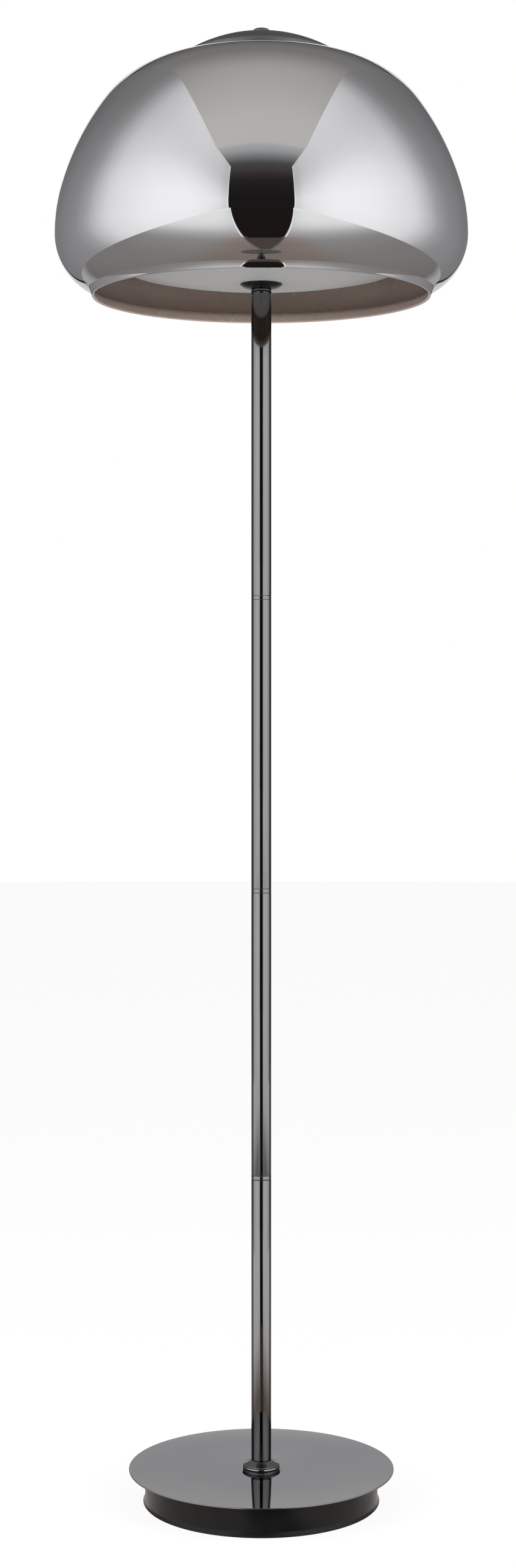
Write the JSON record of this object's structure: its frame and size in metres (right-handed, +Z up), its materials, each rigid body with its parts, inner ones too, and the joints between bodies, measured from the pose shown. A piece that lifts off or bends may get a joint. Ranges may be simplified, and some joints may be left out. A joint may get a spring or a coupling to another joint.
{
  "type": "floor lamp",
  "caption": "Floor lamp with a mirrored smoked glass globe over an opal dish, on a slim jointed pole and a round weighted base.",
  "frame": {"origin": "centre of the base on the floor, under the pole", "axes": "+Z up along the pole, +Y towards the back, where the supply cord enters, +X to the right as seen from the front"},
  "size_m": [0.4082, 0.4082, 1.4659],
  "materials": {
    "black_chrome": "black chrome, polished",
    "drum_paint": "satin black powder coat",
    "raw_iron": "raw casting",
    "zinc_steel": "zinc plated",
    "hub_paint": "white enamel",
    "rubber": "matt",
    "black_plastic": "moulded",
    "white_plastic": "moulded",
    "brass": "bright",
    "nickel": "nickel plated",
    "lead_sheath": "soft sheath",
    "opal": "opal, satin",
    "bulb_opal": "frosted white",
    "smoked_mirror_glass": "smoked and mirrored"
  },
  "bodies": {
    "root": {"base_plate": "black_chrome", "base_collar": "black_chrome", "pole_tube_1": "black_chrome", "pole_tube_2": "black_chrome", "pole_tube_3": "black_chrome", "pole_tube_4": "black_chrome", "joint_ring_1": "black_chrome", "joint_ring_2": "black_chrome", "joint_ring_3": "black_chrome", "neck_ring": "black_chrome", "shade_cup": "black_chrome", "base_housing": "drum_paint", "base_weight": "raw_iron", "bottom_cover": "zinc_steel", "cover_screws": "zinc_steel", "base_nipple": "zinc_steel", "base_washer": "zinc_steel", "base_nut": "zinc_steel", "foot_plug": "zinc_steel", "head_plug": "zinc_steel", "tube_coupler_1": "zinc_steel", "tube_coupler_2": "zinc_steel", "tube_coupler_3": "zinc_steel", "center_rod": "zinc_steel", "diffuser_nut": "zinc_steel", "hub_nuts": "zinc_steel", "arm_nipples": "zinc_steel", "shade_carrier": "zinc_steel", "carrier_nuts": "zinc_steel", "earth_screw": "zinc_steel", "lamp_hub": "hub_paint", "hub_cover": "hub_paint", "foot_pads": "rubber", "diffuser_washer": "rubber", "cord_gland": "black_plastic", "gland_nut": "black_plastic", "lampholder_1": "black_plastic", "lampholder_2": "black_plastic", "lampholder_3": "black_plastic", "terminal_block": "white_plastic", "terminal_screws": "brass", "earth_tag": "brass", "holder_contacts": "brass", "holder_shells": "nickel", "supply_lead": "lead_sheath", "holder_leads": "lead_sheath", "diffuser": "opal"},
    "shade": {"glass_shade": "smoked_mirror_glass", "shade_grommet": "rubber"},
    "cap": {"top_cap": "black_chrome", "cap_gasket": "rubber"},
    "finial_ring": {"finial_washer": "black_chrome"},
    "finial": {"finial_nut": "black_chrome"},
    "bulb_1": {"bulb_cap_1": "nickel", "bulb_globe_1": "bulb_opal"},
    "bulb_2": {"bulb_cap_2": "nickel", "bulb_globe_2": "bulb_opal"},
    "bulb_3": {"bulb_cap_3": "nickel", "bulb_globe_3": "bulb_opal"}
  },
  "joints": [
    {"name": "shade_lift", "type": "slide", "parent": "root", "child": "shade", "axis": [0, 0, 1], "range_m": [0, 0.27]},
    {"name": "cap_lift", "type": "slide", "parent": "shade", "child": "cap", "axis": [0, 0, 1], "range_m": [0, 0.05]},
    {"name": "finial_travel", "type": "slide", "parent": "cap", "child": "finial_ring", "axis": [0, 0, 1], "range_m": [0, 0.0081]},
    {"name": "finial_turn", "type": "hinge", "parent": "finial_ring", "child": "finial", "pos_m": [0, 0, 1.4635], "axis": [0, 0, 1], "range_deg": [0, 2880]},
    {"name": "bulb_1_draw", "type": "slide", "parent": "root", "child": "bulb_1", "axis": [0, 0.866, 0.5], "range_m": [0, 0.024]},
    {"name": "bulb_2_draw", "type": "slide", "parent": "root", "child": "bulb_2", "axis": [-0.75, -0.433, 0.5], "range_m": [0, 0.024]},
    {"name": "bulb_3_draw", "type": "slide", "parent": "root", "child": "bulb_3", "axis": [0.75, -0.433, 0.5], "range_m": [0, 0.024]}
  ],
  "couplings": [
    {"joint": "finial_travel", "follows": "finial_turn", "m_per_rad": 0.00015915}
  ]
}
